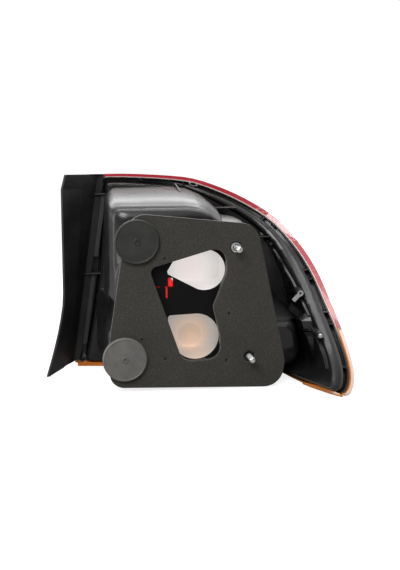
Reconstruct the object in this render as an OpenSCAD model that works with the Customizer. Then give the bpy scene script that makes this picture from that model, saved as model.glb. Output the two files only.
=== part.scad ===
// Wrap-around rear lamp of a car, right-hand corner as seen from the car body side.
// X runs to the car's flank, Y to the rear (the lens side), Z up.
// The part is drawn standing on its lower edge (z = 0), then shifted so that the origin is
// the centre of the upper bare stud on the face of the gasket.

/* [Lens outline] */
// Width of the rim, from the lower left corner to the flank
lamp_w = 274; // [255:1:295]
// Height of the rim above its lower edge
lamp_h = 211; // [200:1:225]
// Depth of the rim, from the forward tip to the rear
lamp_d = 181; // [165:1:195]
// Distance from the gasket face back to the rearmost point of the lens
lens_back = 164; // [155:1:175]
// Wall of the lens shell
lens_wall = 3.2; // [2.5:0.1:4.5]
// Width of the lens edge that faces the car body, on the flank
lens_edge = 5; // [4:0.1:6]
// Height of the line where the red lens ends and the lower lens begins
split_z = 58; // [50:1:70]
// Roundness of the lens between flank and rear face (2 is an ellipse)
dome_power = 4; // [3:0.5:6]

/* [Housing] */
// Wall of the moulded housing
wall = 3; // [2:0.1:3.6]
// Depth of the groove around the rim
groove_d = 8; // [6:0.5:10]
// Height of the rounded bead inside the groove
bead_h = 6.5; // [4:0.5:9]
// Distance from the gasket face back to the floor of the housing
floor_y = 112; // [100:1:118]
// Thickness of the webs across the groove
web_t = 1.6; // [1:0.1:2.5]

/* [Gasket and mounting face] */
// Thickness of the foam gasket
foam_t = 5; // [3:0.5:8]
// Inset of the housing's mounting face from the edge of the gasket
face_inset = 3; // [1:0.5:6]
// Thickness of the mounting face
face_t = 4; // [3:0.5:6]
// Corner radius of the gasket at the top
foam_r = 20; // [12:1:24]
// Radius of the foam holes around the studs
foam_hole_r = 6.2; // [5.8:0.1:7.5]

/* [Bulb openings] */
// Radius of the upper bulb opening
upper_r = 21; // [18:0.5:22]
// Radius of the lower bulb opening
lower_r = 24; // [20:0.5:24.5]
// Depth of the bulb seat below the mounting face
seat_d = 6; // [4:0.5:10]

/* [Fasteners] */
// Radius of the studs
stud_r = 3; // [2.5:0.1:3.5]
// Free length of a bare stud in front of the gasket face
stud_l = 18; // [12:1:24]
// Depth of a stud in its boss
stud_root = 12; // [8:1:16]
// Radius of the round nut at the foot of a bare stud
collar_r = 5.5; // [4.5:0.1:5.7]
// Height of that nut
collar_h = 4; // [3:0.5:4.5]
// Radius of the plastic disc nuts
disc_r = 22.3; // [18:0.1:26]
// Thickness of the plastic disc nuts
disc_t = 5; // [4:0.5:8]
// Clearance around studs and between seated pieces
gap = 0.15; // [0.1:0.05:0.3]

/* [Side flap] */
// Thickness of the side flap
flap_t = 3; // [2:0.5:4]
// Reach of the flap's free edge beyond the rim, to the left
flap_reach = 13; // [8:1:20]
// Reach of the flap's free edge towards the car body
flap_fwd = 50; // [30:1:70]
// How far the flap flares out at its foot
flap_flare = 19.5; // [0:0.5:30]

/* [Hidden] */
$fn = 48;

// Places on the gasket face, x and z
upper_stud = [37, 145.5];
lower_stud = [51, 33];
upper_nut = [-63.4, 153.8];
lower_nut = [-76.5, 35];
stud_places = [upper_stud, lower_stud, upper_nut, lower_nut];

// Left end and forward tip of the rim
rim_x0 = -121.5;
rim_y0 = -45;
// Point of the front view that the rim bands run towards
mid = [10, 75];

// Knots of the rim: shares of width, depth and height, then width and height of the bead
rim_knots = [
    [0.137, 1.000, 1.000, 0.32, 0.0],
    [0.268, 0.995, 0.998, 0.32, 0.0],
    [0.403, 0.989, 0.987, 0.34, 0.0],
    [0.491, 0.978, 0.972, 0.45, 0.8],
    [0.575, 0.961, 0.938, 0.57, 1.0],
    [0.662, 0.939, 0.891, 0.65, 1.0],
    [0.750, 0.906, 0.829, 0.70, 1.0],
    [0.830, 0.856, 0.754, 0.80, 1.0],
    [0.892, 0.779, 0.659, 0.90, 1.0],
    [0.932, 0.691, 0.573, 1.00, 1.0],
    [0.958, 0.591, 0.488, 1.00, 1.0],
    [0.976, 0.470, 0.389, 1.00, 1.0],
    [0.991, 0.315, 0.284, 1.00, 1.0],
    [0.998, 0.171, 0.185, 1.00, 1.0],
    [1.000, 0.077, 0.104, 1.00, 1.0],
    [0.987, 0.017, 0.038, 0.95, 1.0],
    [0.954, 0.000, 0.000, 0.80, 1.0],
    [0.896, 0.177, 0.000, 0.60, 0.8],
    [0.852, 0.337, 0.000, 0.45, 0.6],
    [0.801, 0.569, 0.000, 0.30, 0.3],
    [0.735, 0.757, 0.000, 0.25, 0.0],
    [0.608, 0.867, 0.000, 0.25, 0.0],
    [0.443, 0.906, 0.000, 0.25, 0.0],
    [0.224, 0.917, 0.000, 0.25, 0.0],
    [0.049, 0.923, 0.000, 0.30, 0.0],
    [0.009, 0.925, 0.014, 0.40, 0.0],
    [0.004, 0.934, 0.066, 0.50, 0.0],
    [0.053, 0.961, 0.500, 0.50, 0.0],
    [0.102, 0.994, 0.938, 0.42, 0.0],
    [0.111, 1.000, 0.986, 0.36, 0.0]
];

function spline(a, b, c, d, t) =
    0.5 * (2 * b + (c - a) * t + (2 * a - 5 * b + 4 * c - d) * t * t
           + (3 * b - a - 3 * c + d) * t * t * t);

// Two points for each knot, on a smooth closed curve
rim = [
    for (i = [0 : len(rim_knots) - 1], t = [0, 0.5])
        let (n = len(rim_knots),
             k = spline(rim_knots[(i + n - 1) % n], rim_knots[i],
                        rim_knots[(i + 1) % n], rim_knots[(i + 2) % n], t))
        [rim_x0 + k[0] * lamp_w, rim_y0 + k[1] * lamp_d, max(0, k[2] * lamp_h),
         k[3], min(1, max(0, k[4]))]
];

// Width of the lens edge at a rim point: it narrows with the bands
function edge_w(p) = lens_edge * (0.45 + 0.55 * p[3]);
// The housing starts inside the bead of adhesive
seal_w = 1;
band_start = 6.2;
function band_inset(p, d) = edge_w(p) + seal_w + 2 * gap + (d - band_start) * p[3];

// Unit direction in the front view from a rim point towards the middle
function inward(p) = let (d = mid - [p[0], p[2]]) d / norm(d);

// A rim point moved inward by q and back by dy, with share f of the way to the floor
function moved_in(p, q, dy, f = 0) =
    let (u = inward(p))
    [p[0] + u[0] * q, (p[1] + dy) * (1 - f) + floor_y * f, p[2] + u[1] * q];
function band(d, dy, f = 0) = [for (p = rim) moved_in(p, band_inset(p, d), dy, f)];

// The same with dy above the floor level itself
function floor_band(d, dy) = [
    for (p = rim) let (v = moved_in(p, band_inset(p, d), 0)) [v[0], floor_y + dy, v[2]]
];

// The rounded bead, which sinks to the groove's floor where there is none
function bead(d, dy, under = 0) = [
    for (p = rim) moved_in(p, band_inset(p, d), groove_d * (1 - p[4]) + dy * p[4] + under)
];

// Ring of the lens dome at share m of its depth, inside by t
function dome(m, t, at_edge) = [
    for (p = rim)
        let (s = pow(1 - pow(m, dome_power), 1 / dome_power),
             inset = m == 0 ? edge_w(p) * at_edge : t,
             v = mid + ([p[0], p[2]] + inward(p) * inset - mid) * s)
        [v[0], p[1] + m * (lens_back - t - p[1]), v[1]]
];

// Rings joined to one closed solid, with a point at both ends
module loft(rings, first, last) {
    n = len(rings[0]);
    m = len(rings);
    polyhedron(points = concat([first], [for (r = rings) each r], [last]), faces = concat(
        [for (i = [0 : n - 1]) [0, 1 + i, 1 + (i + 1) % n]],
        [for (j = [0 : m - 2], i = [0 : n - 1], k = [0, 1])
            let (a = 1 + j * n + i, b = 1 + j * n + (i + 1) % n, c = a + n, d = b + n)
            k == 0 ? [a, c, b] : [b, c, d]],
        [for (i = [0 : n - 1])
            [m * n + 1, 1 + (m - 1) * n + (i + 1) % n, 1 + (m - 1) * n + i]]
    ));
}

// Rings joined to one closed ring-shaped solid
module hoop(rings) {
    n = len(rings[0]);
    m = len(rings);
    polyhedron(points = [for (r = rings) each r],
        faces = [for (j = [0 : m - 1], i = [0 : n - 1], k = [0, 1])
            let (a = j * n + i, b = j * n + (i + 1) % n,
                 c = ((j + 1) % m) * n + i, d = ((j + 1) % m) * n + (i + 1) % n)
            k == 0 ? [a, c, b] : [b, c, d]]);
}

// Moves the drawing so that the upper bare stud is the origin
module placed() {
    translate([-upper_stud[0], 0, -upper_stud[1]]) children();
}

// Gives a flat front-view shape depth from y0 back to y1
module slab(y0, y1) {
    translate([0, y1, 0]) rotate([90, 0, 0]) linear_extrude(height = y1 - y0) children();
}

// A round bar along Y from y0 back to y1 at a place of the front view
module bar(place, r, y0, y1) {
    translate([place[0], y1, place[1]]) rotate([90, 0, 0]) cylinder(h = y1 - y0, r = r);
}

// A turned shape whose axis runs along Y, with its profile's height towards the viewer
module turned(place, y) {
    translate([place[0], y, place[1]]) rotate([90, 0, 0]) rotate_extrude() children();
}

// Arc that rounds the corner b between a and c
function corner_arc(a, b, c, r) =
    let (u = (a - b) / norm(a - b), v = (c - b) / norm(c - b),
         half = acos(u * v) / 2, reach = r / tan(half),
         o = b + (u + v) / norm(u + v) * r / sin(half),
         p = b + u * reach - o, q = b + v * reach - o,
         a0 = atan2(p[1], p[0]), turn = atan2(q[1], q[0]) - a0,
         sweep = turn > 180 ? turn - 360 : (turn < -180 ? turn + 360 : turn),
         steps = max(2, ceil(abs(sweep) / 12)))
    [for (i = [0 : steps]) o + r * [cos(a0 + sweep * i / steps), sin(a0 + sweep * i / steps)]];

// Outline from corners [x, z, radius]
function rounded(c) = let (n = len(c)) [
    for (i = [0 : n - 1])
        let (a = c[(i + n - 1) % n], b = c[i], d = c[(i + 1) % n])
        each corner_arc([a[0], a[1]], [b[0], b[1]], [d[0], d[1]], b[2])
];

foam_corners = [
    [-92, 5.5, 15], [-91, 56, 60], [-71.5, 182, foam_r], [58, 168.5, foam_r],
    [88.5, 27, 30], [84, 0, 20]
];
hourglass_corners = [
    [-51, 126, 6], [-46, 111, 12], [-17, 28.5, 15], [21.5, 32, 13],
    [21, 56, 30], [13.5, 85.5, 9], [28, 121, 14], [26, 148, 13]
];
dimples = [[-35.5, 135.5], [-59.1, 54.1], [-35, 33.4], [30, 78.2], [27.4, 29.6]];

module foam_outline() {
    polygon(rounded(foam_corners));
}

module face_outline(d = 0) {
    offset(delta = -face_inset - d) foam_outline();
}

module hourglass(d = 0) {
    offset(delta = d) polygon(rounded(hourglass_corners));
}

// Bulb openings: a round hole with a wedge towards the left
upper_bulb = [6.9, 121.8];
lower_bulb = [-2.4, 53.2];

module upper_opening() {
    translate(upper_bulb) circle(r = upper_r);
    polygon([
        upper_bulb + upper_r * [cos(107), sin(107)], [-25.7, 131.5], [-31.7, 121.3],
        [-30.9, 118.1], upper_bulb + upper_r * [cos(237), sin(237)]
    ]);
}

module lower_opening() {
    translate(lower_bulb) circle(r = lower_r);
    polygon([
        lower_bulb + lower_r * [cos(96), sin(96)], [-29.1, 76.1], [-31.1, 74.5],
        [-31.1, 67.3], lower_bulb + lower_r * [cos(213), sin(213)]
    ]);
}

// A rectangle in the front view with its own radius at each corner, at depth y:
// radii in the order upper left, upper right, lower right, lower left
corner_steps = 6;
function box_ring(x0, x1, z0, z1, r, y) = [
    for (c = [[x0 + r[0], z1 - r[0], r[0], 180], [x1 - r[1], z1 - r[1], r[1], 90],
              [x1 - r[2], z0 + r[2], r[2], 0], [x0 + r[3], z0 + r[3], r[3], -90]],
         i = [0 : corner_steps])
        let (a = c[3] - 90 * i / corner_steps)
        [c[0] + c[2] * cos(a), y, c[1] + c[2] * sin(a)]
];

// Stud ends: chamfer of the tip, and the thicker root that starts at the gasket face
tip_chamfer = 0.5;
root_extra = 0.4;
shoulder_y = 0.3;

// Depths that the pieces share
back_face = foam_t + face_t;
seat_y = foam_t + seat_d;
seat_back = seat_y + wall;
floor_back = floor_y + wall;
void_back = floor_y + 10;
divider_z = 88.5;
block_z0 = 13;
void_z0 = block_z0 + wall;

// The deep upper chamber back to depth y1: its outside, or its hollow when t is the wall
module upper_chamber(t, y1) {
    y = back_face + 3 + t;
    loft([
        box_ring(-73 + t, 33 - t, 97 + t, 176 - t, [6, 40, 6, 6], y),
        box_ring(-76.5 + t, 36 - t, 94 + t, 181 - t, [8, 44, 8, 8], y + 1.5),
        box_ring(-79 + t, 38 - t, 92 + t, 184.5 - t, [10, 48, 10, 10], y + 5),
        box_ring(-80 + t, 39 - t, 91 + t, 186.5 - t, [10, 50, 10, 10], y + 11),
        box_ring(-82 + t, 46 - t, divider_z + t, 198 - t, [9, 60, 10, 10], y1)
    ], [-20, y, 136], [-20, y1, 136]);
}

// The shallower lower chamber, whose right end stands out beyond the gasket
lower_y = 26;
module lower_chamber(t, y1) {
    y = lower_y + t;
    z = block_z0 + t;
    loft([
        box_ring(-84 + t, 106 - t, z + 5, 57 - t, [12, 10, 18, 12], y),
        box_ring(-88 + t, 111 - t, z + 2, 60.5 - t, [12, 9, 20, 12], y + 3),
        box_ring(-91 + t, 114 - t, z + 0.5, 62 - t, [12, 8, 21, 12], y + 9),
        box_ring(-97 + t, 96 - t, z, divider_z - t, [12, 8, 12, 12], y1)
    ], [0, y, 34], [0, y1, 40]);
}

// The part of a front-view shape that clears the lower edge of the rim
module above_rim() {
    intersection() {
        children();
        translate([-lamp_w / 2, block_z0]) square([lamp_w, lamp_h]);
    }
}

// The dished body: rim flange, groove, bead and floor, as one skin of even wall
module dish() {
    low = groove_d + wall;
    loft([
        floor_band(60, 0),
        floor_band(31, 0),
        band(28, 6),
        bead(26.5, 4 - bead_h),
        bead(24, 1 - bead_h),
        bead(20, -bead_h),
        bead(16.5, 0.8 - bead_h),
        bead(13.5, 3.5 - bead_h),
        band(13, groove_d),
        band(8.2, groove_d),
        band(7.7, 0),
        band(band_start, 0),
        band(band_start, 4),
        band(7, low),
        band(15, low),
        bead(17, 1 - bead_h, wall),
        bead(23, 1 - bead_h, wall),
        band(25, 9),
        floor_band(28, wall),
        floor_band(60, wall)
    ], [mid[0], floor_y, mid[1]], [mid[0], floor_back, mid[1]]);
}

// Place on the rim: point i of the rim curve, moved in by band width d
function rim_place(i, d) = let (v = moved_in(rim[i], band_inset(rim[i], d), 0)) v;

// Thin webs across the groove at chosen points of the rim curve
web_points = [2, 5, 13, 20, 24, 28];
module web(i) {
    p = rim[i];
    u = inward(p);
    v = rim_place(i, 7.2);
    translate([v[0], v[1] - 0.5, v[2]]) rotate([0, -atan2(u[1], u[0]), 0])
        translate([0, 0, -web_t / 2]) cube([8.5 * p[3], groove_d + 1.5, web_t]);
}

// Bosses in the rim that carry the bracket, the screw and the clip ring: rim point, band
// inset, radius and how far the seat stands in front of the rim
bracket_boss = [21, 29, 4.2, 8];
screw_boss = [25, 29, 3.4, 9];
peg_bosses = [[15, 29, 1.8, 7], [17, 30, 1.8, 7], [14, 9, 1.3, 3]];

function boss_seat(b) = rim_place(b[0], b[1]) - [0, b[3], 0];
module boss(b) {
    v = boss_seat(b);
    bar([v[0], v[2]], b[2], v[1], v[1] + b[3] + 8);
}

// Hollow of the block between two heights and two depths
module bulb_void(y0, z0, z1, y1) {
    slab(y0, y1) intersection() {
        face_outline(wall);
        translate([-lamp_w / 2, z0]) square([lamp_w, z1 - z0]);
    }
}

// Both chambers and the block that carries the mounting face, rooted in the dish's floor
module chambers() {
    upper_chamber(0, floor_y + 0.5);
    lower_chamber(0, floor_y + 0.5);
    slab(back_face, floor_y + 0.7) above_rim() face_outline();
}

boss_r = stud_r + root_extra + 2.4;
boss_back = foam_t + stud_root + 2;
module housing() color("#1c1c1c") placed() {
    seat = boss_seat(screw_boss);
    difference() {
        union() {
            dish();
            chambers();
            for (i = web_points) web(i);
            for (b = concat([bracket_boss, screw_boss], peg_bosses)) boss(b);
        }
        upper_chamber(wall, void_back);
        lower_chamber(wall, void_back);
        bulb_void(back_face - 1, void_z0, lamp_h, seat_back + gap);
        bulb_void(seat_back, divider_z + wall / 2, lamp_h, void_back);
        bulb_void(seat_back, void_z0, divider_z - wall / 2, void_back);
        for (p = stud_places) bar(p, boss_r + gap, back_face - 1, boss_back + gap);
        bar([seat[0], seat[2]], screw_r + gap, seat[1] - 1, seat[1] + screw_l);
    }
}

// Flat face that the foam lies on, with a blind boss behind each stud
module mounting_face() color("#1c1c1c") placed() {
    difference() {
        union() {
            slab(foam_t, back_face - gap) difference() {
                face_outline();
                hourglass();
            }
            for (p = stud_places) bar(p, boss_r, foam_t, boss_back);
        }
        for (p = stud_places) bar(p, stud_r + root_extra + gap, foam_t - 1, foam_t + stud_root);
    }
}

// Seat of the bulb carrier, recessed behind the face, with the two bulb openings
slots = [[-30.9, 105.2, 5.2, 9.4], [-42.4, 104.9, 3.4, 1], [-34.5, 104.9, 2.7, 1],
         [-33.2, 93.6, 2.1, 12.3]];
module bulb_seat() color("#161616") placed() {
    difference() {
        union() {
            slab(back_face, seat_back) difference() {
                hourglass(wall);
                hourglass();
            }
            slab(seat_y, seat_back) hourglass(wall / 2);
        }
        slab(seat_y - 1, seat_back + 1) {
            upper_opening();
            lower_opening();
            for (s = slots) translate([s[0], s[1]]) square([s[2], s[3]]);
        }
    }
}

// Cuts a lens shell at the split: above it or below it
module lens_part(upper) {
    intersection() {
        children();
        translate([-lamp_w, rim_y0 - 20, upper ? split_z : -20])
            cube([2 * lamp_w, 2 * lamp_w, upper ? lamp_h : split_z + 20 - gap]);
    }
}

dome_steps = [0, 0.12, 0.3, 0.5, 0.68, 0.82, 0.92, 0.975];
// A layer of the lens between insets a and b, which are shares of the edge at the rim
module lens_shell(t0, a0, t1, a1) {
    n = len(dome_steps);
    loft(concat([for (i = [n - 1 : -1 : 0]) dome(dome_steps[i], t0, a0)],
                [for (m = dome_steps) dome(m, t1, a1)]),
         [mid[0], lens_back - t0, mid[1]], [mid[0], lens_back - t1, mid[1]]);
}

module red_lens() color("#a5121c") placed() {
    lens_part(true) lens_shell(0, 0, lens_wall, 1);
}

module clear_lens() color("#e8d8d2", 0.6) placed() {
    lens_part(false) lens_shell(0, 0, lens_wall / 2 - 0.1, 0.5);
}

module amber_lens() color("#d9770f") placed() {
    lens_part(false) lens_shell(lens_wall / 2, 0.52, lens_wall, 1);
}

module lens_seal() color("#d8c8c4") placed() {
    a = [for (p = rim) edge_w(p) + gap];
    b = [for (p = rim) edge_w(p) + gap + seal_w];
    n = len(rim);
    hoop([
        [for (i = [0 : n - 1]) moved_in(rim[i], b[i], 0.3)],
        [for (i = [0 : n - 1]) moved_in(rim[i], a[i], 0.3)],
        [for (i = [0 : n - 1]) moved_in(rim[i], a[i], 3.5)],
        [for (i = [0 : n - 1]) moved_in(rim[i], b[i], 3.5)]
    ]);
}

module foam_gasket() color("#3d3a36") placed() {
    difference() {
        slab(0, foam_t) foam_outline();
        slab(-1, foam_t + 1) hourglass();
        for (p = stud_places) bar(p, foam_hole_r, -1, foam_t + 1);
        for (p = dimples) bar(p, 1.6, -1, 1.5);
    }
}

// Reflector bowl: rings from the bulb opening to a flange on the back of the floor
module bowl(front, middle, back, flange) {
    t = 1.6;
    y = floor_back + gap;
    hoop([
        box_ring(front[0], front[1], front[2], front[3], front[4], seat_back + 3.5),
        box_ring(middle[0], middle[1], middle[2], middle[3], middle[4], 50),
        box_ring(back[0], back[1], back[2], back[3], back[4], y),
        box_ring(flange[0], flange[1], flange[2], flange[3], flange[4], y),
        box_ring(flange[0], flange[1], flange[2], flange[3], flange[4], y + t),
        box_ring(back[0] + t, back[1] - t, back[2] + t, back[3] - t, back[4], y + t),
        box_ring(middle[0] + t, middle[1] - t, middle[2] + t, middle[3] - t, middle[4], 50),
        box_ring(front[0] + t, front[1] - t, front[2] + t, front[3] - t, front[4],
                 seat_back + 3.5)
    ]);
}

module reflector_upper() color("#d9d6d2") placed() {
    bowl([-41, 33, 95, 149, [16, 24, 24, 16]], [-68, 37, 94, 170, [14, 40, 14, 14]],
         [-77.5, 41.5, 92.5, 192, [8, 52, 9, 9]], [-81.5, 45.5, 89.4, 196, [9, 56, 10, 10]]);
}

module reflector_lower() color("#d9d6d2") placed() {
    bowl([-38, 28, 24, 82, [14, 22, 24, 14]], [-62, 60, 17.5, 83.5, [12, 20, 20, 12]],
         [-84, 74, 17.5, 84.6, [10, 10, 10, 10]], [-88, 78, 14, 88, [10, 10, 10, 10]]);
}

optic_y = floor_back + 1.6 + 2 * gap;
module optic_upper() color("#ece4e2") placed() {
    slab(optic_y, optic_y + 2.5) polygon([
        for (v = box_ring(-81, 45, 90, 195, [9, 56, 10, 10], 0)) [v[0], v[2]]
    ]);
}

module optic_lower() color("#e4dcd6") placed() {
    slab(optic_y, optic_y + 2.5) polygon([
        for (v = box_ring(-87, 77, 14.5, 87.5, [10, 10, 10, 10], 0)) [v[0], v[2]]
    ]);
}

// Amber cap in front of the lower optic
amber_place = [6, 32.5];
module amber_filter() color("#e88a2a") placed() {
    turned(amber_place, optic_y - gap) polygon([
        [0, 0], [14, 0], [14, 1.5], [12.5, 5], [9.5, 8.5], [5, 10.5], [0, 11]
    ]);
}

module reflex_reflector() color("#e00d1a") placed() {
    y = seat_back + gap;
    z = divider_z + wall / 2 + gap;
    slab(y, y + 2) polygon([[-45, z], [-24, z], [-24, 99], [-21, 104], [-30, 117.5], [-45, 117.5]]);
}

// Stud with a chamfered tip, and a thicker root from just behind the gasket face
module stud(place, y0) {
    y1 = foam_t + stud_root - gap;
    turned(place, y1) polygon([
        [0, 0], [stud_r + root_extra, 0], [stud_r + root_extra, y1 - shoulder_y],
        [stud_r, y1 - shoulder_y], [stud_r, y1 - y0 - tip_chamfer],
        [stud_r - tip_chamfer, y1 - y0], [0, y1 - y0]
    ]);
}

module stud_upper() color("#c9ccd0") placed() stud(upper_stud, -stud_l);

module stud_lower() color("#c9ccd0") placed() stud(lower_stud, -stud_l);

module nut_studs() color("#c9ccd0") placed() {
    for (p = [upper_nut, lower_nut]) stud(p, -2);
}

module collar_nut() color("#b4b7ba") placed() {
    difference() {
        turned(upper_stud, foam_t) polygon([
            [0, 0], [collar_r, 0], [collar_r, collar_h - 0.6], [collar_r - 0.6, collar_h],
            [0, collar_h]
        ]);
        bar(upper_stud, stud_r + root_extra + gap, 0, foam_t + 1);
    }
}

// Disc nut: a thin disc with a raised nub and a hub that reaches the mounting face
module disc_nut(place) {
    difference() {
        union() {
            turned(place, 0) polygon([
                [0, 0], [disc_r, 0], [disc_r, disc_t - 1], [disc_r - 1, disc_t],
                [disc_r - 1.6, disc_t], [disc_r - 2, disc_t - 0.4], [3.4, disc_t - 0.4],
                [3, disc_t + 0.6], [1.8, disc_t + 0.6], [1.5, disc_t - 0.6], [0, disc_t - 0.6]
            ]);
            bar(place, foam_hole_r - 2 * gap, -1, foam_t);
        }
        bar(place, stud_r + root_extra + gap, -2.5, foam_t + 1);
    }
}

module disc_nut_upper() color("#2b2c29") placed() disc_nut(upper_nut);

module disc_nut_lower() color("#2b2c29") placed() disc_nut(lower_nut);

// Left edge of the rim at height z, from the knots of that edge
edge_low = rim_knots[26];
edge_high = rim_knots[28];
function left_edge(z) =
    let (t = (z / lamp_h - edge_low[2]) / (edge_high[2] - edge_low[2]),
         k = edge_low + (edge_high - edge_low) * t)
    [rim_x0 + k[0] * lamp_w, rim_y0 + k[1] * lamp_d];

// Free edge of the flap at height z: upright, flared at the foot, drawn in at the top
flare_z = 85;
function free_edge(z) =
    let (top = left_edge(lamp_h), low = z < flare_z ? pow(1 - z / flare_z, 1.4) : 0,
         high = max(0, (z - lamp_h + 16) / 16))
    [rim_x0 - flap_reach - flap_flare * low + 4 * high * high, top[1] - flap_fwd - 12];

flap_root = 6;
flap_steps = 14;
module side_flap() color("#1b1b1b") placed() {
    rows = [for (i = [0 : flap_steps])
        let (s = i / flap_steps, z = 1 + (lamp_h - 1) * s,
             r = left_edge(z), e = free_edge(z), t = flap_t,
             zr = z < 8 ? 8 : z, ze = z + 4 * s,
             m = (r + e) / 2 + [2, -3])
        [
            [r[0] - 3, r[1] - gap, zr],
            [m[0] - 1, m[1] + t / 2 + 1, (zr + ze) / 2],
            [e[0], e[1] + 1, ze],
            [e[0], e[1] - 1.5, ze],
            [e[0] + 2, e[1] - 2, ze],
            [e[0] + 4, e[1] + 1, ze],
            [m[0] + 1, m[1] - t / 2, (zr + ze) / 2],
            [r[0] - 1, r[1] - 2 - t, zr],
            [r[0] + flap_root, r[1] - gap - t, zr],
            [r[0] + flap_root, r[1] - gap, zr]
        ]];
    first = rows[0];
    last = rows[flap_steps];
    loft(rows, (first[1] + first[6]) / 2, (last[1] + last[6]) / 2);
}

// Retaining strip of the flap with a cross tab at its head, lying in the channel
module flap_clip(z0, z1) {
    w = 5;
    low = left_edge(z0);
    high = left_edge(z1);
    x = flap_root + gap;
    ring = function (e, z) [
        [e[0] + x, e[1] + 2, z], [e[0] + x, e[1] - 4, z],
        [e[0] + x + w, e[1] - 4, z], [e[0] + x + w, e[1] + 2, z]
    ];
    union() {
        loft([ring(low, z0), ring(high, z1)], [low[0] + x + w / 2, low[1] - 1, z0],
             [high[0] + x + w / 2, high[1] - 1, z1]);
        translate([high[0] + x, high[1] - 7, z1 - 1.5]) cube([12, 9, 1.5]);
    }
}

module flap_clip_upper() color("#3a3a38") placed() flap_clip(121, 190);

module flap_clip_lower() color("#3a3a38") placed() flap_clip(24, 103);

// Sheet bracket: an eyelet, an arm and a bent foot
bracket_t = 1.2;
module eyelet_bracket() color("#d5d2cb") placed() {
    v = boss_seat(bracket_boss);
    place = [v[0], v[2]];
    y = v[1] - gap;
    slab(y - bracket_t, y) difference() {
        union() {
            translate(place) circle(r = 3.1);
            translate(place) rotate(225) translate([0, -2.2]) square([11, 4.4]);
        }
        translate(place) circle(r = 1.4);
    }
}

screw_r = 1.6;
screw_l = 7;
module rim_screw() color("#d8d8d6") placed() {
    v = boss_seat(screw_boss);
    turned([v[0], v[2]], v[1] + screw_l - 1) polygon([
        [0, 0], [screw_r, 0], [screw_r, screw_l - 1 + gap], [2.4, screw_l - 1 + gap],
        [2.4, screw_l], [1.7, screw_l + 1.4], [0, screw_l + 1.9]
    ]);
}

// Flat spring ring clipped over the rim flange near the top
module clip_ring() color("#c8c2b8") placed() {
    v = rim_place(6, 8.9);
    translate([v[0], v[1] - gap, v[2]]) rotate([90, 14, 0])
        linear_extrude(height = 4) difference() {
            scale([1, 0.4]) circle(r = 4.8);
            scale([1, 0.4]) circle(r = 3.6);
        }
}

housing();
mounting_face();
bulb_seat();
red_lens();
clear_lens();
amber_lens();
lens_seal();
foam_gasket();
reflector_upper();
reflector_lower();
optic_upper();
optic_lower();
amber_filter();
reflex_reflector();
stud_upper();
stud_lower();
nut_studs();
collar_nut();
disc_nut_upper();
disc_nut_lower();
side_flap();
flap_clip_upper();
flap_clip_lower();
eyelet_bracket();
rim_screw();
clip_ring();
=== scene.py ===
"""The looks of a wrap-around car tail light, seen from the side that faces the car body."""

import math

import bmesh
import bpy
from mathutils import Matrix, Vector


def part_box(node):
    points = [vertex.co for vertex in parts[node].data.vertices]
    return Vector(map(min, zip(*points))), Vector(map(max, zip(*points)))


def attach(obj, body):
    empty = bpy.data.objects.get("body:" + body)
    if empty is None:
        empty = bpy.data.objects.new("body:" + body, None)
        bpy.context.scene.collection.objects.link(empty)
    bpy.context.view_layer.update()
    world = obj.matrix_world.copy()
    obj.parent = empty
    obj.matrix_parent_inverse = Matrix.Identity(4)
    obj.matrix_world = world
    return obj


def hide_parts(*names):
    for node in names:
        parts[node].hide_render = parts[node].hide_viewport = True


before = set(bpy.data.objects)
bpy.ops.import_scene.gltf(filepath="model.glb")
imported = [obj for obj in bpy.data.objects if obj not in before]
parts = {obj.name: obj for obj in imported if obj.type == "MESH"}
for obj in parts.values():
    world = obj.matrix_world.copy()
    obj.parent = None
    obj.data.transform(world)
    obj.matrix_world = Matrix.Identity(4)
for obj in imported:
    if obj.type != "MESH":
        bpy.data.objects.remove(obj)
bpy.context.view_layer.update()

# The upper bare stud is the origin: its place in the front view, in mm, above the lower edge
STUD_X, STUD_Z = 37.0, 145.5
# Width, depth and height of the rim in the drawing, its left end and its forward tip, in mm
LAMP_W, LAMP_D, LAMP_H = 274, 181, 211
RIM_X0, RIM_Y0 = -121.5, -45
# Depth of the housing's floor, and the height where the red lens ends
FLOOR_Y, SPLIT_Z = 112, 58


def at(x, y, z):
    """A point of the part's drawing, in mm above its lower edge, as metres in the frame."""
    return Vector(((x - STUD_X) / 1000, y / 1000, (z - STUD_Z) / 1000))


def colour(text):
    """Linear colour of an sRGB hex value."""
    def linear(v):
        return v / 12.92 if v <= 0.04045 else ((v + 0.055) / 1.055) ** 2.4
    return tuple(linear(int(text[i:i + 2], 16) / 255) for i in (1, 3, 5)) + (1.0,)


def per_mm(size):
    """Texture scale that gives features of a size in mm, in metre coordinates."""
    return 1000.0 / size


def add(tree, kind, inputs=None, stops=(), **settings):
    """Adds one node with its settings, socket values, links and colour stops."""
    made = tree.nodes.new(kind)
    for key, value in settings.items():
        setattr(made, key, value)
    for key, value in (inputs or {}).items():
        if isinstance(value, bpy.types.Node):
            value = value.outputs[0]
        if isinstance(value, bpy.types.NodeSocket):
            tree.links.new(value, made.inputs[key])
        else:
            made.inputs[key].default_value = value
    for i, (place, text) in enumerate(stops):
        band = made.color_ramp.elements
        mark = band[i] if i < len(band) else band.new(place)
        mark.position = place
        mark.color = colour(text)
    return made


def begin(name):
    """A new material, its empty node tree and the piece's own coordinates."""
    made = bpy.data.materials.new(name)
    made.use_nodes = True
    made.node_tree.nodes.clear()
    place = add(made.node_tree, "ShaderNodeTexCoord").outputs["Object"]
    return made, made.node_tree, place


def close(tree, inputs):
    """The surface of a material: its shader with these inputs, and the output."""
    skin = add(tree, "ShaderNodeBsdfPrincipled", inputs)
    add(tree, "ShaderNodeOutputMaterial", {"Surface": skin})


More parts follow.
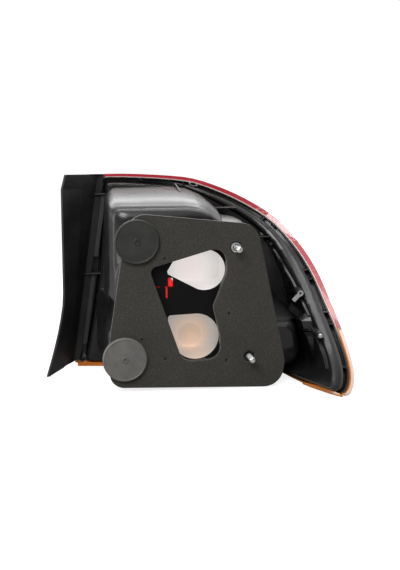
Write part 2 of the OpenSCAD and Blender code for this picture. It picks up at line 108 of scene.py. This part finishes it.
def moulded(name, dark, light, flow_mm, smooth, matt, grain_mm, grain_depth, edge_mm, shine=0.5):
    """A moulded plastic: slow flow shading, a fine skin grain and edges that catch light."""
    made, tree, place = begin(name)
    flow = add(tree, "ShaderNodeTexNoise", {"Vector": place, "Scale": per_mm(flow_mm),
                                            "Detail": 3.0})
    grain = add(tree, "ShaderNodeTexNoise", {"Vector": place, "Scale": per_mm(grain_mm),
                                             "Detail": 2.0})
    tint = add(tree, "ShaderNodeValToRGB", {"Fac": flow}, [(0.3, dark), (0.7, light)])
    rough = add(tree, "ShaderNodeMapRange", {"Value": flow, "From Min": 0.3, "From Max": 0.7,
                                             "To Min": smooth, "To Max": matt})
    edge = add(tree, "ShaderNodeBevel", {"Radius": edge_mm / 1000}, samples=6)
    skin = add(tree, "ShaderNodeBump", {"Height": grain, "Distance": grain_depth / 1000,
                                        "Normal": edge})
    close(tree, {"Base Color": tint, "Roughness": rough, "Normal": skin, "IOR": 1.53,
                 "Specular IOR Level": shine})
    return made


def closed_cell_foam():
    """Die-cut closed-cell foam: matt, with a fine speckle of cut cells."""
    made, tree, place = begin("foam_closed_cell_cut")
    # Cells of about 0.5 mm are drawn at 1.3 mm so that they show
    cells = add(tree, "ShaderNodeTexVoronoi", {"Vector": place, "Scale": per_mm(1.3)})
    fine = add(tree, "ShaderNodeTexNoise", {"Vector": place, "Scale": per_mm(1.5),
                                            "Detail": 3.0})
    broad = add(tree, "ShaderNodeTexNoise", {"Vector": place, "Scale": per_mm(40.0)})
    mixed = add(tree, "ShaderNodeMath", {0: cells, 1: fine}, operation="MULTIPLY")
    tint = add(tree, "ShaderNodeValToRGB", {"Fac": mixed},
               [(0.1, "#2b2925"), (0.32, "#35322d"), (0.55, "#403c36")])
    shade = add(tree, "ShaderNodeValToRGB", {"Fac": broad}, [(0.3, "#e6e6e6"), (0.7, "#ffffff")])
    both = add(tree, "ShaderNodeMix", {0: 1.0, 6: tint, 7: shade}, data_type="RGBA",
               blend_type="MULTIPLY")
    edge = add(tree, "ShaderNodeBevel", {"Radius": 0.001}, samples=6)
    pores = add(tree, "ShaderNodeBump", {"Height": mixed, "Distance": 0.00022, "Normal": edge})
    close(tree, {"Base Color": both.outputs[2], "Roughness": 0.92, "Normal": pores,
                 "Sheen Weight": 0.15})
    return made


def zinc_steel():
    """Zinc plate over turned steel: pale and bright, with a slight cloudiness."""
    made, tree, place = begin("steel_zinc_plated")
    cloud = add(tree, "ShaderNodeTexNoise", {"Vector": place, "Scale": per_mm(2.5),
                                             "Detail": 4.0})
    tint = add(tree, "ShaderNodeValToRGB", {"Fac": cloud}, [(0.3, "#b9bbbd"), (0.7, "#e2e2df")])
    rough = add(tree, "ShaderNodeMapRange", {"Value": cloud, "From Min": 0.3, "From Max": 0.7,
                                             "To Min": 0.34, "To Max": 0.48})
    close(tree, {"Base Color": tint, "Metallic": 1.0, "Roughness": rough})
    return made


def acrylic(name, thick, thin, through, toward):
    """Injection-moulded acrylic lens: a polished skin, paler where its edge thins out."""
    made, tree, place = begin(name)
    # The edge pales along the curve, from the top on the left to the foot on the flank
    along = add(tree, "ShaderNodeVectorMath", {0: place, 1: toward}, operation="DOT_PRODUCT")
    cloud = add(tree, "ShaderNodeTexNoise", {"Vector": place, "Scale": per_mm(30.0)})
    level = add(tree, "ShaderNodeMath", {0: along.outputs["Value"], 1: 0.5}, operation="ADD")
    drift = add(tree, "ShaderNodeMath", {0: cloud, 1: 0.1, 2: level}, operation="MULTIPLY_ADD")
    tint = add(tree, "ShaderNodeValToRGB", {"Fac": drift}, [(0.25, thick), (0.95, thin)])
    # Rows of small prisms about 4 mm apart, seen under the smooth outer face
    rows = add(tree, "ShaderNodeTexWave", {"Vector": place, "Scale": per_mm(4.0) / math.pi},
               bands_direction="Z")
    columns = add(tree, "ShaderNodeTexWave", {"Vector": place, "Scale": per_mm(4.0) / math.pi})
    prisms = add(tree, "ShaderNodeMath", {0: rows.outputs["Fac"], 1: columns.outputs["Fac"]})
    facets = add(tree, "ShaderNodeBump", {"Height": prisms, "Distance": 0.00004})
    close(tree, {"Base Color": tint, "Normal": facets, "Roughness": 0.24, "IOR": 1.49,
                 "Transmission Weight": through, "Coat Weight": 1.0, "Coat Roughness": 0.03})
    return made


def hot_melt():
    """Bead of hot-melt adhesive, milky and slightly pink from the lens."""
    made, tree, place = begin("hot_melt_adhesive")
    lumps = add(tree, "ShaderNodeTexNoise", {"Vector": place, "Scale": per_mm(5.0),
                                             "Detail": 3.0})
    # Amber shows through it below the line where the red lens ends
    axes = add(tree, "ShaderNodeSeparateXYZ", {"Vector": place})
    split, blend = at(0, 0, SPLIT_Z).z, 0.0125
    height = add(tree, "ShaderNodeMapRange", {"Value": axes.outputs["Z"],
                                              "From Min": split - blend,
                                              "From Max": split + blend})
    mixed = add(tree, "ShaderNodeMath", {0: lumps, 1: 0.3, 2: height}, operation="MULTIPLY_ADD")
    tint = add(tree, "ShaderNodeValToRGB", {"Fac": mixed}, [(0.2, "#6b3a16"), (1.0, "#d9bbb4")])
    soft = add(tree, "ShaderNodeBump", {"Height": lumps, "Distance": 0.0002})
    close(tree, {"Base Color": tint, "Normal": soft, "Roughness": 0.35})
    return made


def frosted_painted_light(name, deep, near, warm, spot, painted_emission):
    """Frosted plastic with painted light: it shines by emission, is paler at its middle and painted
    darker outwards as shade, with a warm painted spot.
    """
    made, tree, place = begin(name)
    middle, reach = spot
    apart = add(tree, "ShaderNodeVectorMath", {0: place, 1: middle}, operation="SUBTRACT")
    flat = add(tree, "ShaderNodeVectorMath", {0: apart, 1: (1.0, 0.0, 1.0)},
               operation="MULTIPLY")
    far = add(tree, "ShaderNodeVectorMath", {0: flat}, operation="LENGTH")
    cloud = add(tree, "ShaderNodeTexNoise", {"Vector": place, "Scale": per_mm(9.0)})
    # Painted shade: the colour darkens from the middle of the spot out to its reach
    share = add(tree, "ShaderNodeMapRange", {"Value": far.outputs["Value"], "From Min": 0.0,
                                             "From Max": reach / 1000})
    tint = add(tree, "ShaderNodeValToRGB", {"Fac": share}, warm + [(0.62, near), (1.0, deep)])
    peel = add(tree, "ShaderNodeBump", {"Height": cloud, "Distance": 0.00006})
    # Painted light: the bowls emit light, though they are no lamp
    close(tree, {"Base Color": tint, "Emission Color": tint, "Emission Strength": painted_emission,
                 "Roughness": 0.55, "Normal": peel})
    return made


def reflex_red_painted_light():
    """Moulded reflex reflector: red acrylic over small corner-cube prisms; the light they throw
    back is painted light, as emission and as bright and dark painted glints per cell.
    """
    made, tree, place = begin("reflex_acrylic_red_painted_light")
    # Painted glints: cells of 2.4 mm painted between bright and deeper red
    cube_glints_painted = add(tree, "ShaderNodeTexVoronoi", {"Vector": place, "Scale": per_mm(2.4)})
    tint = add(tree, "ShaderNodeValToRGB", {"Fac": cube_glints_painted}, [(0.0, "#ff2418"), (0.6, "#d20a12")])
    # Painted light: the reflector emits light, though it is no lamp
    close(tree, {"Base Color": tint, "Emission Color": tint, "Emission Strength": 0.6,
                 "Roughness": 0.2})
    return made


steel = zinc_steel()
# Polypropylene from a grained tool: matt, so the flap stays an even dark grey
flap = moulded("polypropylene_flap_matt", "#181818", "#232221", flow_mm=34, smooth=0.5,
               matt=0.64, grain_mm=2.0, grain_depth=0.05, edge_mm=0.8)
# ABS from a polished tool: black, with broad soft highlights on its curves
abs_skin = moulded("abs_moulded_black", "#0f0f0f", "#191818", flow_mm=26, smooth=0.26,
                   matt=0.36, grain_mm=1.6, grain_depth=0.015, edge_mm=1.0)
# The same ABS behind the bulbs, matt, and painted darker there as painted shade, where little light
# comes back
seat_skin_painted_shade = moulded("abs_seat_matt_painted_shade", "#070707", "#0b0b0b", flow_mm=20, smooth=0.5, matt=0.6,
                    grain_mm=1.6, grain_depth=0.02, edge_mm=0.5, shine=0.12)
# Nylon from a fine-grained tool: its face is dull and even; the lower nut is the same nylon painted
# grey, a painted reflection of the white floor
nylon = {"flow_mm": 9, "smooth": 0.42, "matt": 0.56, "grain_mm": 1.4, "grain_depth": 0.03,
         "edge_mm": 0.6}
# Painted light on both bowls: they shine by emission as if daylight came from the lens side, and
# the lower one shines warm where its filter is
opal_upper_painted_light = frosted_painted_light("opal_upper_painted_light", "#a3a19f", "#c9c8c6", [(0.0, "#e9dedf"), (0.3, "#e3e0df")],
                     (at(8, 60, 107), 54), 0.48)
opal_lower = frosted_painted_light("opal_lower_warm_painted_light", "#918e8b", "#c3bfbc", [(0.0, "#f0d0b6"), (0.34, "#e0cbba")],
                     (at(8, 60, 34), 42), 0.44)
finishes = {
    "housing": abs_skin,
    "mounting_face": abs_skin,
    "bulb_seat": seat_skin_painted_shade,
    "side_flap": flap,
    "flap_clip_upper": flap,
    "flap_clip_lower": flap,
    "foam_gasket": closed_cell_foam(),
    "disc_nut_upper": moulded("nylon_black", "#161714", "#20211d", **nylon),
    # Painted reflection: the lower nut's lighter grey stands for the white floor reflected in it
    "disc_nut_lower": moulded("nylon_black_painted_floor_reflection", "#545250", "#625f5b", **nylon),
    # Acrylic dyed in the mass: deep where it is thick, and pale where its edge thins out
    "red_lens": acrylic("acrylic_red", "#cb1b35", "#c4525c", 0.3, (1.6, 0.0, -2.4)),
    "clear_lens": acrylic("acrylic_clear_rose", "#f4b45c", "#fbe4d8", 0.8, (2.0, 0.0, 0.0)),
    "amber_lens": acrylic("acrylic_amber", "#f58a14", "#f59a30", 0.5, (2.0, 0.0, 0.0)),
    "lens_seal": hot_melt(),
    "reflector_upper": opal_upper_painted_light,
    "optic_upper": opal_upper_painted_light,
    "reflector_lower": opal_lower,
    "optic_lower": opal_lower,
    "amber_filter": opal_lower,
    "reflex_reflector": reflex_red_painted_light(),
    "stud_upper": steel,
    "stud_lower": steel,
    "nut_studs": steel,
    "collar_nut": steel,
    "eyelet_bracket": steel,
    "rim_screw": steel,
    "clip_ring": steel,
}
for name, piece in parts.items():
    if not piece.data.materials:
        piece.data.materials.append(finishes[name])
    for slot in piece.material_slots:
        slot.material = finishes[name]


def skin(rings):
    """Faces between rings of equal size, with a cap at both ends."""
    n, m = len(rings[0]), len(rings)
    faces = [(j * n + i, j * n + (i + 1) % n, (j + 1) * n + (i + 1) % n, (j + 1) * n + i)
             for j in range(m - 1) for i in range(n)]
    faces += [tuple(range(n - 1, -1, -1)), tuple(range((m - 1) * n, m * n))]
    return [p for ring in rings for p in ring], faces


def build(name, skins, finish, smooth_to=35.0):
    """One piece from closed skins, with edges sharper than an angle kept crisp."""
    work = bmesh.new()
    for points, faces in skins:
        made = [work.verts.new(p) for p in points]
        for face in faces:
            work.faces.new([made[i] for i in face])
    bmesh.ops.recalc_face_normals(work, faces=work.faces)
    for face in work.faces:
        face.smooth = True
    for edge in work.edges:
        if len(edge.link_faces) == 2:
            edge.smooth = math.degrees(edge.calc_face_angle(0.0)) < smooth_to
    mesh = bpy.data.meshes.new(name)
    work.to_mesh(mesh)
    work.free()
    piece = bpy.data.objects.new(name, mesh)
    bpy.context.collection.objects.link(piece)
    mesh.materials.append(finish)
    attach(piece, "root")
    return piece


# The bare studs in the drawing: tip, root, outer radius and the pitch of a 6 mm thread, in mm
STUD_TIP, STUD_ROOT, STUD_R, PITCH = -18.0, 16.8, 3.0, 1.0


def threaded_stud(name, replaced, x, z):
    """A bare stud with a rolled thread: rings round its axis whose radius follows the helix."""
    around, per_turn, depth = 32, 8, 0.26 * PITCH
    rings = []
    for j in range(int((STUD_ROOT - STUD_TIP) / PITCH * per_turn) + 1):
        y = STUD_TIP + j * PITCH / per_turn
        tip_cut = max(0.0, STUD_TIP + 0.9 - y) * 0.8
        ring = []
        for i in range(around):
            turn = (y / PITCH - i / around) % 1.0
            groove = depth * (1 - min(1.0, abs(turn - 0.5) * 2.6))
            r = STUD_R - max(groove, tip_cut)
            angle = 2 * math.pi * i / around
            ring.append(at(x + r * math.cos(angle), y, z + r * math.sin(angle)))
        rings.append(ring)
    piece = build(name, [skin(rings)], steel, 60.0)
    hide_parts(replaced)


def bar(corners, front, back, chamfer=0.4):
    """A bar with chamfered front and back edges: a front-view outline between two depths."""
    n = len(corners)
    cx, cz = sum(c[0] for c in corners) / n, sum(c[1] for c in corners) / n
    rings = []
    for y, cut in ((front, chamfer), (front + chamfer, 0), (back - chamfer, 0), (back, chamfer)):
        rings.append([at(x - math.copysign(min(cut, abs(x - cx)), x - cx), y,
                         z - math.copysign(min(cut, abs(z - cz)), z - cz)) for x, z in corners])
    return skin(rings)


threaded_stud("thread_upper", "stud_upper", STUD_X, STUD_Z)
threaded_stud("thread_lower", "stud_lower", STUD_X + 14.0, STUD_Z - 112.5)
# Knots of the rim curve: shares of its width, depth and height, then the width of its bands
KNOTS = [
    (0.137, 1.000, 1.000, 0.32), (0.268, 0.995, 0.998, 0.32), (0.403, 0.989, 0.987, 0.34),
    (0.491, 0.978, 0.972, 0.45), (0.575, 0.961, 0.938, 0.57), (0.662, 0.939, 0.891, 0.65),
    (0.750, 0.906, 0.829, 0.70), (0.830, 0.856, 0.754, 0.80), (0.892, 0.779, 0.659, 0.90),
    (0.932, 0.691, 0.573, 1.00), (0.958, 0.591, 0.488, 1.00), (0.976, 0.470, 0.389, 1.00),
    (0.991, 0.315, 0.284, 1.00), (0.998, 0.171, 0.185, 1.00), (1.000, 0.077, 0.104, 1.00),
    (0.987, 0.017, 0.038, 0.95), (0.954, 0.000, 0.000, 0.80), (0.896, 0.177, 0.000, 0.60),
    (0.852, 0.337, 0.000, 0.45), (0.801, 0.569, 0.000, 0.30), (0.735, 0.757, 0.000, 0.25),
    (0.608, 0.867, 0.000, 0.25), (0.443, 0.906, 0.000, 0.25), (0.224, 0.917, 0.000, 0.25),
    (0.049, 0.923, 0.000, 0.30), (0.009, 0.925, 0.014, 0.40), (0.004, 0.934, 0.066, 0.50),
    (0.053, 0.961, 0.500, 0.50), (0.102, 0.994, 0.938, 0.42), (0.111, 1.000, 0.986, 0.36),
]
RIM = [(RIM_X0 + w * LAMP_W, RIM_Y0 + d * LAMP_D, h * LAMP_H, wide) for w, d, h, wide in KNOTS]
# Point of the front view that the bands run towards, in mm
MIDDLE_X, MIDDLE_Z = 10, 75
# Width of the lens edge, of the adhesive beside it, and the band width where the housing starts
EDGE_W, SEAL_W, BAND_START = 5, 1.3, 6.2


def spline(before, start, end, after, t):
    """A smooth curve through four values, at share t of the way from start to end."""
    return 0.5 * (2 * start + (end - before) * t
                  + (2 * before - 5 * start + 4 * end - after) * t * t
                  + (3 * start - before - 3 * end + after) * t ** 3)


def rim_place(i, band, inset, dy):
    """A point at place i of the rim, moved in by a band width and mm, and back by dy mm."""
    j, t = int(i // 2) % len(RIM), (i % 2) / 2
    near = (RIM[(j + k) % len(RIM)] for k in (-1, 0, 1, 2))
    x, y, z, wide = (spline(*values, t) for values in zip(*near))
    z = max(0.0, z)
    if band:
        inset += EDGE_W * (0.45 + 0.55 * wide) + SEAL_W + (band - BAND_START) * wide
    to_x, to_z = MIDDLE_X - x, MIDDLE_Z - z
    length = math.hypot(to_x, to_z)
    return at(x + to_x / length * inset, y + dy, z + to_z / length * inset)


def rail(first, last, profile):
    """A bar that follows the rim: its section is given as band, inset and depth in mm."""
    steps = max(2, int((last - first) * 4))
    return skin([[rim_place(first + (last - first) * k / steps, *p) for p in profile]
                 for k in range(steps + 1)])


# How far the upper chamber's roof rises and its left side swells at each depth, in mm
ROOF_RISE = [(12, 0), (16.4, 0), (19, -1.2), (25, 0), (33, 2.1), (41, 3.2), (50, 3.7), (60, 3.7),
             (72, 3.0), (85, 2.2), (100, 0.9), (FLOOR_Y, 0)]
SIDE_SWELL = [(11, 0), (14, 3), (16.4, 5), (19, 6.5), (22, 7.8), (25, 8.8), (33, 10), (41, 10.5),
              (60, 10.5), (85, 8), (100, 5), (FLOOR_Y, 0)]
# Front face of the housing, and where the roof, the left side and the leaning flank begin
FACE_Y, ROOF_Z, SIDE_X, SIDE_Z = 11.2, 140, -66, 86
FLANK_X, FLANK_Y, FLANK_Z, FLANK_W = 88, 25, 63, 26


def on_line(line, y):
    """Height at depth y of a line through points of depth and height."""
    for (y0, low), (y1, high) in zip(line, line[1:]):
        if y0 <= y <= y1:
            return low + (high - low) * (y - y0) / (y1 - y0)
    return 0.0


def reshape(v):
    """Rounds the upper chamber's roof and left side, and leans the flank of the lower one."""
    x, y, z = v.x * 1000 + STUD_X, v.y * 1000, v.z * 1000 + STUD_Z
    above_floor = y < FLOOR_Y - 0.1
    if 12 < y and above_floor and -84 < x < 50 and z > ROOF_Z:
        z += on_line(ROOF_RISE, y) * min(1.0, (z - ROOF_Z) / 35)
    if FACE_Y < y and above_floor and x < SIDE_X and z > SIDE_Z:
        fade_low, fade_high = min(1.0, (z - SIDE_Z) / 10), min(1.0, 1 - (z - 185) / 40)
        x -= on_line(SIDE_SWELL, y) * min(1.0, (SIDE_X - x) / 6) * fade_low * fade_high
    if FLANK_Y < y and above_floor and x > FLANK_X and z < FLANK_Z:
        lean = -7.5 + 0.2 * (60 - z)
        x += (x - FLANK_X) / FLANK_W * lean * min(1.0, (FLOOR_Y - y) / 20)
    return at(x, y, z)


def rounded_housing():
    """The housing with its chambers blended into the curves that the mould gives them."""
    work = bmesh.new()
    work.from_mesh(parts["housing"].data)
    bmesh.ops.remove_doubles(work, verts=work.verts, dist=1e-6)
    # Edges across the walls, at these depths and heights, let the flat walls take the curve
    depths = (16.4, 19, 22, 25, 29, 33, 37, 41, 45, 50, 55, 60, 66, 72, 85, 100)
    heights = (SIDE_Z, 91, 96, 110, 130, 150, 170, 185)
    cuts = [(at(0, y, 0), (0, 1, 0)) for y in depths] + [(at(0, 0, z), (0, 0, 1)) for z in heights]
    for place, normal in cuts:
        bmesh.ops.bisect_plane(work, geom=work.verts[:] + work.edges[:] + work.faces[:],
                               plane_co=place, plane_no=normal, dist=1e-6)
    for vert in work.verts:
        vert.co = reshape(vert.co)
    points = [v.co.copy() for v in work.verts]
    faces = [[v.index for v in f.verts] for f in work.faces]
    work.free()
    piece = build("housing_moulded", [(points, faces)], abs_skin, 32.0)
    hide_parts("housing")


rounded_housing()
# Ribs and the ledge at the inner foot of the bead: each has its first and last place on the
# rim and a section whose points are a band width, an inset and a depth, in mm
ribs = [
    rail(22.6, 25.4, [(23.5, 0, 3.5), (24.0, 0, 0.6), (24.8, 0, 0.6), (25.6, 0, 4.5)]),
    rail(26.6, 29.0, [(24.0, 0, 3.5), (24.6, 0, 0.8), (25.2, 0, 0.8), (26.0, 0, 4.5)]),
    rail(26.4, 28.9, [(27.6, 0, 8), (27.9, 0, 3.2), (28.6, 0, 3.2), (28.9, 0, 8)]),
    rail(24.6, 29.2, [(24, 0, 9), (25, 0, 4.6), (31.0, 0, 5.2), (31.4, 0, 3.6), (32.3, 0, 3.6),
                      (32.9, 0, 12)]),
    rail(13.0, 23.4, [(24, 0, 6), (26, 0, 3.4), (30.0, 0, 4.0), (30.6, 0, 5.0), (31.0, 0, 14)]),
]
# Webs across the groove: place on the rim, and the band width at which each one ends
WEB_START, WEB_FRONT, WEB_BACK, WEB_HALF = 7.0, -0.3, 7.5, 0.06
for i, end in ((2.1, 19.0), (13, 15.5), (19, 15.5), (23, 15.5)):
    outline = ((WEB_START, WEB_FRONT), (end, WEB_FRONT), (end, WEB_BACK), (WEB_START, WEB_BACK))
    ribs.append(skin([[rim_place(i + side, band, 0, dy) for band, dy in outline]
                      for side in (-WEB_HALF, WEB_HALF)]))
build("housing_ribs", ribs, abs_skin)
# The long fin on the chamber's roof, as depth and height, and two low ribs on the floor
fin = [(74, 193), (74, 196.4), (92, 199.2), (106, 200.6), (113, 201.6), (113, 193)]
frame_ribs = [skin([[at(x, y, z) for y, z in fin] for x in (-10.2, -8.9)])]
for left, right, z in ((31, 56, 174.5), (74, 92, 142)):
    frame_ribs.append(bar([(left, z), (right, z), (right, z + 1.3), (left, z + 1.3)], 98,
                          FLOOR_Y + 0.4, 0.3))
build("floor_ribs", frame_ribs, abs_skin)

# Tabs at the heads of the clip strips
tabs = []
for name in ("flap_clip_upper", "flap_clip_lower"):
    low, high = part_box(name)
    x, y, z = low[0] * 1000 + STUD_X, low[1] * 1000, high[2] * 1000 + STUD_Z
    right = high[0] * 1000 + STUD_X
    tabs.append(bar([(x + 1.5, z - 1.2), (right + 6.5, z - 0.6), (right + 6.5, z + 0.8),
                     (x + 1.5, z + 0.2)], y - 0.3, y + 6, 0.3))
build("clip_tabs", tabs, flap)

# The clear outer layer of the lens edge below the red part, and the amber lip at the foot
rose = acrylic("acrylic_edge_rose", "#e9b5a2", "#ffe3d0", 0.35, (0.0, 0.0, -4.0))
build("lens_edge", [rail(24.4, 32.2, [(0, 0.1, 0.5), (0, 0.3, -0.5), (0, 3.4, -0.5),
                                      (0, 3.7, 0.5)])], rose)
lip = []
# Each line of the lip runs through points of the drawing: x, y and the height of the lip
for line in (((97.5, 59.2, 1.2), (103.4, 33.5, 1.5), (110.2, 8.6, 1.6)),
             ((108.8, 4.4, 2.2), (114.2, -11, 4.0), (119.5, -22, 4.4), (126.8, -37, 4.2),
              (132.4, -46, 3.4), (135.8, -50.4, 1.8)),
             ((-118.5, 117.6, 3.0), (-112, 116.2, 4.4), (-105.3, 115.4, 4.6), (-95, 113.6, 4.4),
              (-88, 112.5, 3.0))):
    lip.append(skin([[at(x, y, 0.1), at(x, y, h - 0.6), at(x, y + 0.6, h), at(x + 1.5, y + 7, h),
                      at(x + 1.5, y + 7, 0.1)] for x, y, h in line]))
build("amber_lip", lip, finishes["amber_lens"])

# Camera at the photograph's angle: 9 degrees to the left and 10 degrees above
camera_data = bpy.data.cameras.new("camera")
camera = bpy.data.objects.new("camera", camera_data)
bpy.context.collection.objects.link(camera)
camera.location = at(-166.4, -1050.5, 296.0)
aim = at(0, 0, 108.5)
camera.rotation_euler = (aim - camera.location).to_track_quat("-Z", "Y").to_euler()
camera_data.sensor_fit = "VERTICAL"
camera_data.sensor_height = 36.0
camera_data.lens = 68.0
bpy.context.scene.camera = camera


def soft_box(name, place, size, power):
    """A studio soft box that points at the middle of the part."""
    data = bpy.data.lights.new(name, "AREA")
    data.shape = "RECTANGLE"
    data.size, data.size_y = size
    data.energy = power
    lamp = bpy.data.objects.new(name, data)
    bpy.context.collection.objects.link(lamp)
    lamp.location = place
    lamp.rotation_euler = (at(0, 40, 100) - place).to_track_quat("-Z", "Y").to_euler()


soft_box("strip_above", at(0, 60, 1000), (1.1, 0.30), 4.0)
soft_box("strip_behind", at(-60, 800, 800), (1.1, 0.35), 5.6)
soft_box("box_front", at(-500, -1000, 900), (0.7, 0.7), 15.0)
soft_box("strip_left", at(-950, -50, 300), (0.3, 0.7), 3.0)

# The studio: white behind and above the lamp, dark on the side that faces the car body
world = bpy.data.worlds.new("studio")
bpy.context.scene.world = world
world.use_nodes = True
tree = world.node_tree
tree.nodes.clear()
way = add(tree, "ShaderNodeTexCoord").outputs["Generated"]
axes = add(tree, "ShaderNodeSeparateXYZ", {"Vector": way})
back = add(tree, "ShaderNodeMapRange", {"Value": axes.outputs["Y"], "From Min": -0.6,
                                        "From Max": 0.45, "To Min": 0.04, "To Max": 1.0})
up = add(tree, "ShaderNodeMapRange", {"Value": axes.outputs["Z"], "From Min": 0.3,
                                      "From Max": 0.85, "To Min": 0.0, "To Max": 0.9})
room = add(tree, "ShaderNodeMath", {0: back, 1: up}, operation="MAXIMUM")
seen = add(tree, "ShaderNodeLightPath")
straight = add(tree, "ShaderNodeMath", {0: seen.outputs["Is Camera Ray"],
                                        1: seen.outputs["Is Transmission Ray"]},
               operation="MAXIMUM")
level = add(tree, "ShaderNodeMath", {0: room, 1: straight}, operation="MAXIMUM")
sky = add(tree, "ShaderNodeBackground", {"Color": colour("#ffffff"), "Strength": level})
add(tree, "ShaderNodeOutputWorld", {"Surface": sky})

# White table: matt paper, with white added for the camera so that only the shadow stays
floor_mesh = bpy.data.meshes.new("table")
floor_z, reach = at(0, 0, 0).z, 4
corners = [(-reach, -reach, floor_z), (reach, -reach, floor_z), (reach, reach, floor_z),
           (-reach, reach, floor_z)]
floor_mesh.from_pydata(corners, [], [(0, 1, 2, 3)])
table = bpy.data.objects.new("table", floor_mesh)
bpy.context.collection.objects.link(table)
paper = bpy.data.materials.new("paper_white")
paper.use_nodes = True
tree = paper.node_tree
tree.nodes.clear()
seen = add(tree, "ShaderNodeLightPath")
extra = add(tree, "ShaderNodeMath", {0: seen.outputs["Is Camera Ray"], 1: 0.80},
            operation="MULTIPLY")
plain = add(tree, "ShaderNodeBsdfDiffuse", {"Color": colour("#a2a2a2")})
lit = add(tree, "ShaderNodeEmission", {"Color": colour("#ffffff"), "Strength": extra})
both = add(tree, "ShaderNodeAddShader", {0: plain, 1: lit})
add(tree, "ShaderNodeOutputMaterial", {"Surface": both})
floor_mesh.materials.append(paper)

bpy.context.scene.view_settings.view_transform = "Standard"
